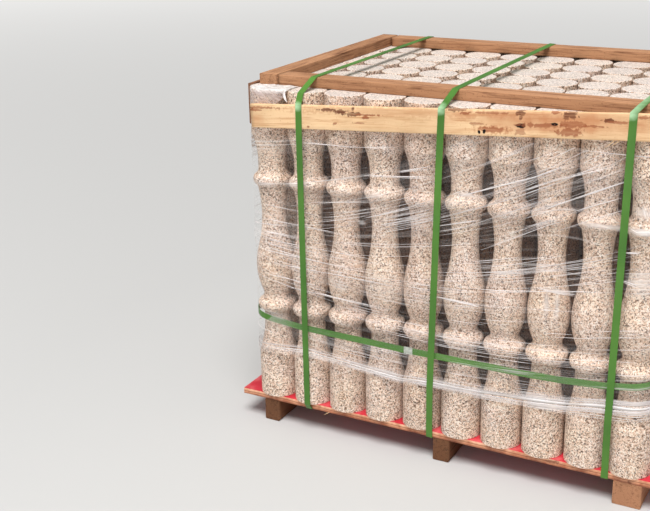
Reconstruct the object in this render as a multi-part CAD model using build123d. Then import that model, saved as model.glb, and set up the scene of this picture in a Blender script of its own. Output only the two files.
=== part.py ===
from build123d import *
import math
import os

# A pallet load of turned granite balusters, wrapped and strapped for transport.
# Millimetres. X runs along the front row, -Y is the front, Z is up, and the origin is on the
# floor under the middle of the pallet.

# The stone: how many stand on the deck, and how close.
COLUMNS = 10
ROWS = 8
BALUSTER_GAP = 3.9

# One baluster: lengths along its axis and radii from it.
BALUSTER_HEIGHT = 800.0
BLOCK_RADIUS = 48.8
EDGE_CHAMFER = 1.0
FOOT_HEIGHT = 115.0
CAP_HEIGHT = 113.0
BEAD_BELOW = 16.0
BEAD_ABOVE = 26.0
BEAD_TURN = 0.45
BELLY_FOOT_RISE = 5.0
BELLY_TURN = 0.35
UPPER_NECK_RISE = 22.0

# How high the turnings sit, as shares of the baluster's height.
LOWER_NECK_RATIO = 0.2575
LOWER_BEAD_RATIO = 0.309
BELLY_RATIO = 0.4375
WAIST_RATIO = 0.609
UPPER_BEAD_RATIO = 0.718

# How far the turnings stand out, as shares of the block's radius.
LOWER_NECK_WIDTH_RATIO = 0.686
UPPER_NECK_WIDTH_RATIO = 0.721
BEAD_WIDTH_RATIO = 0.994
BEAD_FOOT_WIDTH_RATIO = 0.82
BELLY_WIDTH_RATIO = 0.994
BELLY_FOOT_WIDTH_RATIO = 0.676
WAIST_WIDTH_RATIO = 0.632
SHAFT_TOP_WIDTH_RATIO = 0.8

# The timber pallet under the stone.
DECK_THICKNESS = 15.0
DECK_SIDE_MARGIN = 41.0
DECK_FRONT_MARGIN = -10.3
BEARER_HEIGHT = 60.0
BEARER_WIDTH = 43.0
WIDE_BEARER_WIDTH = 65.0
LEFT_BEARER_INSET = 64.0
CENTRE_BEARER_OFFSET = 14.8
RIGHT_BEARER_INSET = 50.0

# The boards on edge round the heads of the balusters.
FRONT_BOARD_INSET = 28.5
FRONT_BOARD_HEIGHT = 57.0
FRONT_BOARD_THICKNESS = 12.0
FRONT_BOARD_DROP = 62.0
FRONT_BOARD_SLOPE = 3.5
REAR_BOARD_DROP = 45.0
SIDE_BOARD_THICKNESS = 10.0
SIDE_BOARD_HEIGHT = 100.0
SIDE_BOARD_DROP = 46.0
SIDE_BOARD_SETBACK = 43.8

# The frame of battens lying on the heads.
BATTEN_THICKNESS = 26.0
BATTEN_WIDTH = 50.0
BATTEN_SETBACK = 63.8
RUNNER_WIDTH = 47.0
RUNNER_INSET = 10.8
BATTEN_END_GAP = 6.0

# The plastic straps and their seal. Each column value counts pitches from the first baluster.
STRAP_WIDTH = 16.0
STRAP_THICKNESS = 1.0
LEFT_STRAP_COLUMN = 1.068
CENTRE_STRAP_COLUMN = 4.347
RIGHT_STRAP_COLUMN = 8.56
LEFT_STRAP_ANGLE = 0.3
CENTRE_STRAP_ANGLE = 2.0
RIGHT_STRAP_ANGLE = 0.85
GIRTH_HEIGHT = 206.0
SEAL_COLUMN = 3.83
SEAL_LENGTH = 22.0
SEAL_WALL = 0.6
SEAL_PLAY = 0.1

# The stretch film round the stone.
FILM_THICKNESS = 0.4
FILM_FOOT = 125.0
FILM_BELOW_BOARDS = 6.0

# The gap left where a round face meets a flat one.
SEAT = 0.3

# Places that follow from the sizes above.
LOWER_NECK_RADIUS = LOWER_NECK_WIDTH_RATIO * BLOCK_RADIUS
UPPER_NECK_RADIUS = UPPER_NECK_WIDTH_RATIO * BLOCK_RADIUS
BEAD_RADIUS = BEAD_WIDTH_RATIO * BLOCK_RADIUS
BEAD_FOOT_RADIUS = BEAD_FOOT_WIDTH_RATIO * BLOCK_RADIUS
BELLY_RADIUS = BELLY_WIDTH_RATIO * BLOCK_RADIUS
BELLY_FOOT_RADIUS = BELLY_FOOT_WIDTH_RATIO * BLOCK_RADIUS
WAIST_RADIUS = WAIST_WIDTH_RATIO * BLOCK_RADIUS
SHAFT_TOP_RADIUS = SHAFT_TOP_WIDTH_RATIO * BLOCK_RADIUS
PITCH = 2 * BLOCK_RADIUS + BALUSTER_GAP
ROW_HALF = (COLUMNS - 1) * PITCH / 2
DEPTH_HALF = (ROWS - 1) * PITCH / 2
STONE_SIDE = ROW_HALF + BLOCK_RADIUS
STONE_FRONT = DEPTH_HALF + BLOCK_RADIUS
DECK_TOP = BEARER_HEIGHT + DECK_THICKNESS
HEAD_TOP = DECK_TOP + BALUSTER_HEIGHT
DECK_LENGTH = 2 * (STONE_SIDE + DECK_SIDE_MARGIN)
DECK_DEPTH = 2 * (STONE_FRONT + DECK_FRONT_MARGIN)
LEFT_BEARER_X = LEFT_BEARER_INSET + BEARER_WIDTH / 2 - DECK_LENGTH / 2
RIGHT_BEARER_X = DECK_LENGTH / 2 - RIGHT_BEARER_INSET - WIDE_BEARER_WIDTH / 2
BATTEN_TOP = HEAD_TOP + BATTEN_THICKNESS
FRONT_BOARD_LENGTH = 2 * (STONE_SIDE - FRONT_BOARD_INSET)
BOARD_FACE = STONE_FRONT + SEAT + FRONT_BOARD_THICKNESS
SIDE_BOARD_TOP = HEAD_TOP + SIDE_BOARD_HEIGHT / 2 - SIDE_BOARD_DROP
REAR_BOARD_TOP = HEAD_TOP + FRONT_BOARD_HEIGHT / 2 - REAR_BOARD_DROP
FRONT_BOARD_LEFT_TOP = HEAD_TOP + FRONT_BOARD_HEIGHT / 2 - FRONT_BOARD_DROP
FILM_LOW = DECK_TOP + FILM_FOOT
FILM_HIGH = SIDE_BOARD_TOP - SIDE_BOARD_HEIGHT - FILM_BELOW_BOARDS
FILM_REACH = SEAT + STRAP_THICKNESS + SEAL_PLAY + SEAL_WALL + SEAT + FILM_THICKNESS


def between(first, last, share):
    """The point a share of the way from the first point to the last."""
    return tuple(a + share * (b - a) for a, b in zip(first, last))


def bead(height, neck_radius):
    """A bead, round below and running up in a hollow to the neck above it."""
    foot = (BEAD_FOOT_RADIUS, height - BEAD_BELOW)
    widest = (BEAD_RADIUS, height)
    head = (neck_radius, height + BEAD_ABOVE)
    turn = between(widest, head, BEAD_TURN)
    return [
        TangentArc(widest, foot, tangent=(0, -1)),
        TangentArc(widest, turn, tangent=(0, 1)),
        TangentArc(head, turn, tangent=(0, -1)),
    ]


def baluster_outline():
    """Half the section of a baluster, as (radius, height) from the axis out and back."""
    lower_bead = LOWER_BEAD_RATIO * BALUSTER_HEIGHT
    upper_bead = UPPER_BEAD_RATIO * BALUSTER_HEIGHT
    foot_edge = (BLOCK_RADIUS, FOOT_HEIGHT)
    lower_neck = (LOWER_NECK_RADIUS, LOWER_NECK_RATIO * BALUSTER_HEIGHT)
    lower_neck_top = (LOWER_NECK_RADIUS, lower_bead - BEAD_BELOW)
    lower_bead_top = (BELLY_FOOT_RADIUS, lower_bead + BEAD_ABOVE)
    belly_foot = (BELLY_FOOT_RADIUS, lower_bead + BEAD_ABOVE + BELLY_FOOT_RISE)
    belly = (BELLY_RADIUS, BELLY_RATIO * BALUSTER_HEIGHT)
    waist = (WAIST_RADIUS, WAIST_RATIO * BALUSTER_HEIGHT)
    turn = between(belly, waist, BELLY_TURN)
    shaft_top = (SHAFT_TOP_RADIUS, upper_bead - BEAD_BELOW)
    upper_bead_top = (UPPER_NECK_RADIUS, upper_bead + BEAD_ABOVE)
    upper_neck = (UPPER_NECK_RADIUS, upper_bead + BEAD_ABOVE + UPPER_NECK_RISE)
    cap_edge = (BLOCK_RADIUS, BALUSTER_HEIGHT - CAP_HEIGHT)
    rim = BLOCK_RADIUS - EDGE_CHAMFER
    lines = [
        Line((0, 0), (rim, 0)),
        Line((rim, 0), (BLOCK_RADIUS, EDGE_CHAMFER)),
        Line((BLOCK_RADIUS, EDGE_CHAMFER), foot_edge),
        TangentArc(lower_neck, foot_edge, tangent=(0, -1)),
        Line(lower_neck, lower_neck_top),
        Line(lower_neck_top, (BEAD_FOOT_RADIUS, lower_bead - BEAD_BELOW)),
    ]
    lines += bead(lower_bead, BELLY_FOOT_RADIUS)
    lines += [
        Line(lower_bead_top, belly_foot),
        TangentArc(belly, belly_foot, tangent=(0, -1)),
        TangentArc(belly, turn, tangent=(0, 1)),
        TangentArc(waist, turn, tangent=(0, -1)),
        TangentArc(waist, shaft_top, tangent=(0, 1)),
        Line(shaft_top, (BEAD_FOOT_RADIUS, upper_bead - BEAD_BELOW)),
    ]
    lines += bead(upper_bead, UPPER_NECK_RADIUS)
    lines += [
        Line(upper_bead_top, upper_neck),
        TangentArc(upper_neck, cap_edge, tangent=(0, 1)),
        Line(cap_edge, (BLOCK_RADIUS, BALUSTER_HEIGHT - EDGE_CHAMFER)),
        Line((BLOCK_RADIUS, BALUSTER_HEIGHT - EDGE_CHAMFER), (rim, BALUSTER_HEIGHT)),
        Line((rim, BALUSTER_HEIGHT), (0, BALUSTER_HEIGHT)),
        Line((0, BALUSTER_HEIGHT), (0, 0)),
    ]
    return lines


def turned_baluster():
    """One baluster, turned about Z, standing on Z = 0."""
    outline = Curve() + baluster_outline()
    return revolve(make_face(Plane.XZ * outline), Axis.Z)


def column_x(column):
    return column * PITCH - ROW_HALF


def row_y(row):
    return row * PITCH - DEPTH_HALF


def brick(low, high):
    """A square-edged block between two corners."""
    size = [b - a for a, b in zip(low, high)]
    middle = [(a + b) / 2 for a, b in zip(low, high)]
    return Pos(*middle) * Box(*size)


def deck():
    return Pos(0, 0, BEARER_HEIGHT + DECK_THICKNESS / 2) * Box(DECK_LENGTH, DECK_DEPTH, DECK_THICKNESS)


def bearer(x, width):
    return Pos(x, 0, BEARER_HEIGHT / 2) * Box(width, DECK_DEPTH, BEARER_HEIGHT)


def front_board():
    """The front board, which hangs lower at its left end."""
    corner = (Align.MIN, Align.MAX, Align.MAX)
    board = Box(FRONT_BOARD_LENGTH, FRONT_BOARD_THICKNESS, FRONT_BOARD_HEIGHT, align=corner)
    left_end = Pos(-FRONT_BOARD_LENGTH / 2, -STONE_FRONT - SEAT, FRONT_BOARD_LEFT_TOP)
    return left_end * Rot(0, -FRONT_BOARD_SLOPE, 0) * board


def front_board_top(x):
    """The height of the front board's upper edge at x."""
    along = x + FRONT_BOARD_LENGTH / 2
    return FRONT_BOARD_LEFT_TOP + along * math.tan(math.radians(FRONT_BOARD_SLOPE))


def rear_board():
    return brick(
        (-FRONT_BOARD_LENGTH / 2, STONE_FRONT + SEAT, REAR_BOARD_TOP - FRONT_BOARD_HEIGHT),
        (FRONT_BOARD_LENGTH / 2, BOARD_FACE, REAR_BOARD_TOP),
    )


def side_board(side):
    """A board on edge along one side, -1 for the left and 1 for the right."""
    inner = side * (STONE_SIDE + SEAT)
    outer = inner + side * SIDE_BOARD_THICKNESS
    reach = STONE_FRONT - SIDE_BOARD_SETBACK
    return brick(
        (min(inner, outer), -reach, SIDE_BOARD_TOP - SIDE_BOARD_HEIGHT),
        (max(inner, outer), reach, SIDE_BOARD_TOP),
    )


def runner(side):
    """A batten from front to back along one side, on the heads."""
    outer = side * (STONE_SIDE - RUNNER_INSET)
    inner = outer - side * RUNNER_WIDTH
    reach = STONE_FRONT - BATTEN_SETBACK
    return brick((min(inner, outer), -reach, HEAD_TOP), (max(inner, outer), reach, BATTEN_TOP))


def batten(end):
    """A batten between the runners, -1 along the front and 1 along the back."""
    outer = end * (STONE_FRONT - BATTEN_SETBACK)
    inner = outer - end * BATTEN_WIDTH
    reach = STONE_SIDE - RUNNER_INSET - RUNNER_WIDTH - BATTEN_END_GAP
    return brick((-reach, min(inner, outer), HEAD_TOP), (reach, max(inner, outer), BATTEN_TOP))


def stone_reach(x):
    """How far the feet stand out from the row's axis within the strap's width at x."""
    reach = 0.0
    for column in range(COLUMNS):
        offset = abs(x - column_x(column)) - STRAP_WIDTH / 2
        if offset <= 0:
            reach = max(reach, BLOCK_RADIUS)
        elif offset < BLOCK_RADIUS:
            reach = max(reach, math.sqrt(BLOCK_RADIUS**2 - offset**2))
    return DEPTH_HALF + reach + SEAT


def taut_outline(points):
    """The corners that a loop pulled tight round the points touches, in order."""
    ordered = sorted(set(points))

    def half(run):
        kept = []
        for point in run:
            while len(kept) > 1 and turns_in(kept[-2], kept[-1], point):
                kept.pop()
            kept.append(point)
        return kept[:-1]

    return half(ordered) + half(ordered[::-1])


def turns_in(first, middle, last):
    cross = (middle[0] - first[0]) * (last[1] - first[1]) - (middle[1] - first[1]) * (last[0] - first[0])
    return cross <= 0


def upright_strap(x, angle):
    """A strap round the whole load: under the deck at x, up both faces and over the battens.

    It leans to the right by the angle, in degrees, on its way up.
    """
    lean = math.radians(angle)
    film_face = STONE_FRONT + FILM_REACH
    head_x = x + BALUSTER_HEIGHT * math.tan(lean)
    board_top = front_board_top(head_x + STRAP_WIDTH / 2)
    board_foot = front_board_top(head_x - STRAP_WIDTH / 2) - FRONT_BOARD_HEIGHT
    stone = stone_reach(x)
    half_deck = DECK_DEPTH / 2
    batten_face = STONE_FRONT - BATTEN_SETBACK
    points = [
        (-half_deck, BEARER_HEIGHT),
        (half_deck, BEARER_HEIGHT),
        (-half_deck, DECK_TOP),
        (half_deck, DECK_TOP),
        (-stone, DECK_TOP),
        (stone, DECK_TOP),
        (-film_face, FILM_LOW),
        (film_face, FILM_LOW),
        (-BOARD_FACE, board_foot),
        (-BOARD_FACE, board_top),
        (BOARD_FACE, REAR_BOARD_TOP - FRONT_BOARD_HEIGHT),
        (BOARD_FACE, REAR_BOARD_TOP),
        (-stone, HEAD_TOP),
        (stone, HEAD_TOP),
        (-batten_face, BATTEN_TOP),
        (batten_face, BATTEN_TOP),
    ]
    held = make_face(Polyline(*taut_outline(points), close=True))
    play = SEAT + STRAP_WIDTH / 2 * math.sin(lean)
    inner = offset(held, play, kind=Kind.INTERSECTION)
    outer = offset(held, play + STRAP_THICKNESS, kind=Kind.INTERSECTION)
    band = extrude(Plane.YZ * (outer - inner), STRAP_WIDTH / 2, both=True)
    foot = Pos(x, 0, BEARER_HEIGHT)
    return foot * Rot(0, angle, 0) * Pos(0, 0, -BEARER_HEIGHT) * band


def girdle(clearance, thickness, low, high):
    """A band round all the stone, clear of it by the clearance, between two heights."""
    inner = RectangleRounded(
        2 * (STONE_SIDE + clearance), 2 * (STONE_FRONT + clearance), BLOCK_RADIUS + clearance
    )
    reach = clearance + thickness
    outer = RectangleRounded(2 * (STONE_SIDE + reach), 2 * (STONE_FRONT + reach), BLOCK_RADIUS + reach)
    return Pos(0, 0, low) * extrude(outer - inner, high - low)


def girth_strap():
    middle = DECK_TOP + GIRTH_HEIGHT
    return girdle(SEAT, STRAP_THICKNESS, middle - STRAP_WIDTH / 2, middle + STRAP_WIDTH / 2)


def strap_seal():
    """The flattened metal sleeve that joins the ends of the girth strap."""
    hole_depth = STRAP_THICKNESS + 2 * SEAL_PLAY
    hole_height = STRAP_WIDTH + 2 * SEAL_PLAY
    sleeve = Box(SEAL_LENGTH, hole_depth + 2 * SEAL_WALL, hole_height + 2 * SEAL_WALL)
    sleeve -= Box(SEAL_LENGTH, hole_depth, hole_height)
    face = -STONE_FRONT - SEAT - STRAP_THICKNESS / 2
    return Pos(column_x(SEAL_COLUMN), face, DECK_TOP + GIRTH_HEIGHT) * sleeve


def stretch_film():
    clearance = FILM_REACH - FILM_THICKNESS
    return girdle(clearance, FILM_THICKNESS, FILM_LOW, FILM_HIGH)


def baluster_nodes():
    """The front row as single balusters, and each row behind it as a group of its own."""
    stone = turned_baluster()
    nodes = {}
    for column in range(COLUMNS):
        place = Pos(column_x(column), row_y(0), DECK_TOP)
        nodes[f"front_baluster_{column + 1}"] = place * stone
    for row in range(1, ROWS):
        places = [Pos(column_x(column), row_y(row), DECK_TOP) for column in range(COLUMNS)]
        nodes[f"baluster_row_{row + 1}"] = Compound(children=[place * stone for place in places])
    return nodes


def all_nodes():
    nodes = {
        "plywood_deck": deck(),
        "left_bearer": bearer(LEFT_BEARER_X, BEARER_WIDTH),
        "centre_bearer": bearer(CENTRE_BEARER_OFFSET, BEARER_WIDTH),
        "right_bearer": bearer(RIGHT_BEARER_X, WIDE_BEARER_WIDTH),
        "front_board": front_board(),
        "rear_board": rear_board(),
        "left_board": side_board(-1),
        "right_board": side_board(1),
        "left_runner": runner(-1),
        "right_runner": runner(1),
        "front_batten": batten(-1),
        "rear_batten": batten(1),
        "left_strap": upright_strap(column_x(LEFT_STRAP_COLUMN), LEFT_STRAP_ANGLE),
        "centre_strap": upright_strap(column_x(CENTRE_STRAP_COLUMN), CENTRE_STRAP_ANGLE),
        "right_strap": upright_strap(column_x(RIGHT_STRAP_COLUMN), RIGHT_STRAP_ANGLE),
        "girth_strap": girth_strap(),
        "strap_seal": strap_seal(),
        "stretch_film": stretch_film(),
    }
    nodes.update(baluster_nodes())
    return nodes


os.makedirs("parts", exist_ok=True)
for name, solid in all_nodes().items():
    export_step(solid, f"parts/{name}.step")
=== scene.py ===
import math
import random

import bpy
from mathutils import Matrix, Vector, noise


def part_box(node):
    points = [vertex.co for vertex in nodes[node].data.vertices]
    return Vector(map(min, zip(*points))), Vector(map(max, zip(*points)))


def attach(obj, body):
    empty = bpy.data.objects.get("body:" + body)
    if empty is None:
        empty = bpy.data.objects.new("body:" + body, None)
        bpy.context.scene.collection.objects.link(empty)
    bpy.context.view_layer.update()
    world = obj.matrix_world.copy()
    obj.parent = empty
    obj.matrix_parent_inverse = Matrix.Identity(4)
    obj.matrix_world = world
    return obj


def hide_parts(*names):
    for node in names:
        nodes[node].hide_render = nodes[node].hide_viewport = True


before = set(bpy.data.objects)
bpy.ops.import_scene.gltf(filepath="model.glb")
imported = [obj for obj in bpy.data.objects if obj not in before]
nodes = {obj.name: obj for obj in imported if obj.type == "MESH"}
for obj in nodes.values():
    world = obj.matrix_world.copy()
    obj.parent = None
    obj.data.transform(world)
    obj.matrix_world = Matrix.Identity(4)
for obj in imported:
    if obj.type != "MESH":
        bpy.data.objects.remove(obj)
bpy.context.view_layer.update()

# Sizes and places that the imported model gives, in metres.
first_low, first_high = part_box("front_baluster_1")
film_low, film_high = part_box("stretch_film")
girth_low, girth_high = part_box("girth_strap")
RADIUS = (first_high.x - first_low.x) / 2
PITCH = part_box("front_baluster_2")[0].x - first_low.x
FOOT = first_low.z
HEAD = first_high.z
LEFT_AXIS = first_low.x + RADIUS
RIGHT_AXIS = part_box("front_baluster_10")[1].x - RADIUS
FRONT_AXIS = first_low.y + RADIUS
BACK_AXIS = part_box("baluster_row_8")[1].y - RADIUS
FILM_REACH = first_low.x - film_low.x

# Where sheen is painted on the film over the two beads of each stone, and how far up and down from there.
UPPER_BEAD = FOOT + 0.725 * (HEAD - FOOT)
LOWER_BEAD = FOOT + 0.316 * (HEAD - FOOT)
BEAD_SHINE = 0.017

# The camera, in metres and radians, and its lens in millimetres.
CAMERA_PLACE = (0.9495, -2.6319, 1.3841)
CAMERA_YAW = -0.5073
CAMERA_PITCH = 0.3387
CAMERA_ROLL = 0.0203
CAMERA_LENS = 62.356
SENSOR_WIDTH = 36.0

# The lamps: watts, diameter, place, and the point that each one is aimed at.
SKY_LAMP = (960.0, 5.0, (0.8, -3.9, 8.6), (0.0, -0.2, 0.5))
FRONT_LAMP = (26.0, 2.6, (0.8, -4.6, 1.3), (0.0, -0.3, 0.35))

# The sky's light from the horizon down and from high up, and its strength.
SKY_LOW = (0.24, 0.235, 0.23, 1.0)
SKY_HIGH = (0.97, 0.97, 0.96, 1.0)
SKY_STRENGTH = 0.5

# The floor's half width and tone. Away from the load it turns into a pale backdrop: this many metres
# out it is wholly so, and over the first share of that way it is plain floor.
FLOOR_HALF = 40.0
FLOOR_TONE = (0.56, 0.555, 0.545, 1.0)
BACKDROP_FROM = 11.0
FLOOR_KEEPS = 0.12
BACKDROP_TONE = (1.0, 0.995, 0.985, 1.0)
BACKDROP_STRENGTH = 0.56

# The film's gathered edge and the girth strap along the load, as X and height over the floor.
FILM_EDGE = (
    (-0.505, 0.211),
    (-0.365, 0.224),
    (-0.280, 0.219),
    (-0.180, 0.212),
    (-0.090, 0.2055),
    (0.000, 0.212),
    (0.115, 0.2135),
    (0.210, 0.2195),
    (0.305, 0.228),
    (0.395, 0.241),
    (0.505, 0.251),
)
GIRTH_LINE = (
    (-0.505, 0.304),
    (-0.440, 0.294),
    (-0.360, 0.2865),
    (-0.180, 0.283),
    (-0.070, 0.281),
    (0.210, 0.281),
    (0.300, 0.2835),
    (0.400, 0.2905),
    (0.505, 0.3065),
)

# A crease climbs by a share of X that grows with its level over the deck, and bends upwards.
CLIMB_START = 0.33
CLIMB_GROWTH = 1.6
MOST_CLIMB = 0.42
BEND_START = 0.02
BEND_GROWTH = 1.5
MOST_BEND = 0.7

# How deep a crease is, how high over the film's lower side the lowest one runs, and how far below its
# upper edge they all stop.
CREASE_DEPTH = 0.0009
LOWEST_CREASE = 0.03
FILM_MARGIN = 0.006

# The film's upper edge climbs from this X, over this length, by this much.
FILM_CLIMBS_FROM = -0.24
FILM_CLIMBS_OVER = 0.38
FILM_CLIMB = 0.048

# The film's thickness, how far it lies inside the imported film's face, its ripples, the sag of its upper
# edge, and how far it reaches below the gathered edge.
FILM_THICKNESS = 0.0004
FILM_INSET = 0.0008
FILM_RIPPLE = 0.0011
FILM_SAG = 0.006
FILM_HEM = 0.004
FILM_ROWS = 44

# The loose end of film over the heads: how far it reaches in pitches, how far it hangs down in front,
# how high its pleats stand, and the curled lip where it stops.
HOOD_REACH = 0.80
HOOD_HANGS = 0.040
HOOD_PLEAT = 0.0045
LIP_REACH = 0.93
LIP_RADIUS = 0.026
LIP_WIDTH = 0.0034
LIP_STEPS = 14

# The girth strap, and what is left between it and the stone.
STRAP_THICKNESS = 0.001
STRAP_SEAT = 0.0003

# The steps between points round the load, and between points along and across a sawn bar.
TRAIL_STEP = 0.012
TURN_STEPS = 8
BAR_STEP = 0.012
BAR_FACET = 0.008
EDGE_TURNS = 3

SEED = 11


def srgb(red, green, blue):
    """A linear colour from display values of 0 to 255."""
    def linear(value):
        share = value / 255
        return share / 12.92 if share <= 0.04045 else ((share + 0.055) / 1.055) ** 2.4

    return (linear(red), linear(green), linear(blue), 1.0)


def corners(name):
    """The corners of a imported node's mesh."""
    node = nodes[name]
    return [node.matrix_world @ v.co for v in node.data.vertices]


class Shader:
    """A node material with one Principled surface, built up call by call."""

    def __init__(self, name, roughness, specular):
        self.material = bpy.data.materials.new(name)
        self.material.use_nodes = True
        self.tree = self.material.node_tree
        self.tree.nodes.clear()
        self.surface = self.add("ShaderNodeBsdfPrincipled")
        self.surface.inputs["Roughness"].default_value = roughness
        self.surface.inputs["Specular IOR Level"].default_value = specular
        output = self.add("ShaderNodeOutputMaterial")
        self.link(self.surface.outputs[0], output.inputs["Surface"])
        self.place = self.add("ShaderNodeTexCoord").outputs["Object"]

    def add(self, kind):
        return self.tree.nodes.new(kind)

    def link(self, source, target):
        self.tree.links.new(source, target)

    def feed(self, target, value):
        """Sets an input to a number or colour, or links an output to it."""
        if isinstance(value, bpy.types.NodeSocket):
            self.link(value, target)
        else:
            target.default_value = value

    def stretched(self, scale):
        """The place on the object, scaled along each axis."""
        mapping = self.add("ShaderNodeMapping")
        self.link(self.place, mapping.inputs["Vector"])
        mapping.inputs["Scale"].default_value = scale
        return mapping.outputs["Vector"]

    def noise(self, scale, detail=2.0, rough=0.5, vector=None, distortion=0.0):
        texture = self.add("ShaderNodeTexNoise")
        self.link(vector or self.place, texture.inputs["Vector"])
        texture.inputs["Scale"].default_value = scale
        texture.inputs["Detail"].default_value = detail
        texture.inputs["Roughness"].default_value = rough
        texture.inputs["Distortion"].default_value = distortion
        return texture.outputs["Fac"]

    def cells(self, scale):
        """A chance value for each irregular grain."""
        texture = self.add("ShaderNodeTexVoronoi")
        self.link(self.place, texture.inputs["Vector"])
        texture.inputs["Scale"].default_value = scale
        return self.split(texture.outputs["Color"])[0]

    def math(self, operation, first, second=0.0, third=0.0, clamp=False):
        node = self.add("ShaderNodeMath")
        node.operation = operation
        node.use_clamp = clamp
        for socket, value in zip(node.inputs, (first, second, third)):
            self.feed(socket, value)
        return node.outputs[0]

    def plus(self, first, second):
        return self.math("ADD", first, second)

    def less(self, first, second):
        return self.math("SUBTRACT", first, second)

    def times(self, first, second):
        return self.math("MULTIPLY", first, second)

    def split(self, vector):
        node = self.add("ShaderNodeSeparateXYZ")
        self.link(vector, node.inputs[0])
        return node.outputs

    def join(self, x, y, z):
        node = self.add("ShaderNodeCombineXYZ")
        for socket, value in zip(node.inputs, (x, y, z)):
            self.feed(socket, value)
        return node.outputs[0]

    def ramp(self, factor, stops, sharp=False):
        """Colours or numbers placed along a factor from 0 to 1."""
        node = self.add("ShaderNodeValToRGB")
        node.color_ramp.interpolation = "CONSTANT" if sharp else "LINEAR"
        elements = node.color_ramp.elements
        while len(elements) < len(stops):
            elements.new(0.5)
        for element, (position, colour) in zip(elements, stops):
            element.position = position
            element.color = colour if isinstance(colour, tuple) else (colour, colour, colour, 1.0)
        self.link(factor, node.inputs["Fac"])
        return node.outputs["Color"]

    def mix(self, factor, first, second, blend="MIX"):
        node = self.add("ShaderNodeMix")
        node.data_type = "RGBA"
        node.blend_type = blend
        self.feed(node.inputs[0], factor)
        self.feed(node.inputs[6], first)
        self.feed(node.inputs[7], second)
        return node.outputs[2]

    def spot(self, across, up, half_width, half_height, soft, waver, grain=60.0):
        """1 inside an ellipse seen from the front and 0 outside it, with an uneven rim."""
        x, _, z = self.split(self.place)
        side = self.times(self.less(x, across), 1 / half_width)
        rise = self.times(self.less(z, up), 1 / half_height)
        distance = self.math("SQRT", self.plus(self.times(side, side), self.times(rise, rise)))
        uneven = self.times(self.less(self.noise(grain, detail=3.0), 0.5), waver * 2)
        return self.ramp(self.times(self.plus(distance, uneven), 0.5), [(soft / 2, 1.0), (0.5, 0.0)])

    def colour(self, value):
        self.feed(self.surface.inputs["Base Color"], value)

    def bump(self, height, distance, strength):
        node = self.add("ShaderNodeBump")
        node.inputs["Strength"].default_value = strength
        node.inputs["Distance"].default_value = distance
        self.link(height, node.inputs["Height"])
        self.link(node.outputs["Normal"], self.surface.inputs["Normal"])


def granite():
    """Pale granite with fine dark mica flecks and a few rusty grains."""
    s = Shader("granite", roughness=0.65, specular=0.22)
    value = s.cells(320.0)
    grains = [
        (0.0, srgb(247, 233, 220)),
        (0.3, srgb(234, 214, 197)),
        (0.52, srgb(255, 250, 241)),
        (0.78, srgb(222, 200, 181)),
    ]
    pale = s.ramp(value, grains, sharp=True)
    cloud = s.ramp(s.noise(12.0, detail=3.0), [(0.3, srgb(255, 245, 234)), (0.7, srgb(248, 240, 240))])
    base = s.mix(0.8, pale, cloud, blend="MULTIPLY")
    # Dark flecks of mica, 2 to 4 mm long, thin out and gather in turn.
    crowd = s.times(s.noise(25.0), 0.10)
    flecks = s.ramp(s.plus(s.noise(270.0, distortion=1.2), crowd), [(0.595, 0.0), (0.625, 1.0)])
    fleck_tone = s.ramp(s.noise(150.0), [(0.4, srgb(58, 37, 25)), (0.6, srgb(120, 86, 60))])
    specked = s.mix(s.times(flecks, 0.92), base, fleck_tone)
    rust = s.ramp(s.noise(190.0), [(0.67, 0.0), (0.71, 1.0)])
    warm = s.mix(s.times(rust, 0.6), specked, srgb(206, 156, 116))
    # Each stone has its own tone, from the square of the grid that it stands on.
    x, y, z = s.split(s.place)
    column = s.math("FLOOR", s.times(s.less(x, LEFT_AXIS - PITCH / 2), 1 / PITCH))
    row = s.math("FLOOR", s.times(s.less(y, FRONT_AXIS - PITCH / 2), 1 / PITCH))
    chance = s.add("ShaderNodeTexWhiteNoise")
    s.link(s.join(column, row, 0.0), chance.inputs["Vector"])
    tones = [(0.0, srgb(238, 230, 226)), (0.5, srgb(250, 246, 244)), (1.0, srgb(255, 247, 238))]
    tone = s.ramp(chance.outputs["Value"], tones)
    toned = s.mix(0.8, warm, tone, blend="MULTIPLY")
    # Painted shade: the stones inside the load are painted darker and browner below their heads, for the
    # shade they stand in.
    from_left = s.math("GREATER_THAN", x, LEFT_AXIS + PITCH / 2)
    from_right = s.math("LESS_THAN", x, RIGHT_AXIS - PITCH / 2)
    from_front = s.math("GREATER_THAN", y, FRONT_AXIS + PITCH / 2)
    from_back = s.math("LESS_THAN", y, BACK_AXIS - PITCH / 2)
    inside = s.times(s.times(from_left, from_right), s.times(from_front, from_back))
    deep = s.times(inside, s.ramp(s.times(s.less(HEAD, z), 5.0), [(0.1, 0.0), (0.5, 0.95)]))
    with_painted_shade = s.mix(deep, toned, srgb(156, 122, 94), blend="MULTIPLY")
    # The sawn ends on top of the heads are painted a paler grey than the turned faces: painted light, for the
    # strong light from above.
    facing_up = s.split(s.add("ShaderNodeNewGeometry").outputs["Normal"])[2]
    sawn = s.times(s.ramp(facing_up, [(0.75, 0.0), (0.95, 0.45)]), s.math("GREATER_THAN", z, HEAD - 0.01))
    s.colour(s.mix(sawn, with_painted_shade, srgb(204, 202, 200)))
    s.bump(s.plus(value, s.noise(90.0, detail=3.0)), 0.0004, strength=0.5)
    return s.material


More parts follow.
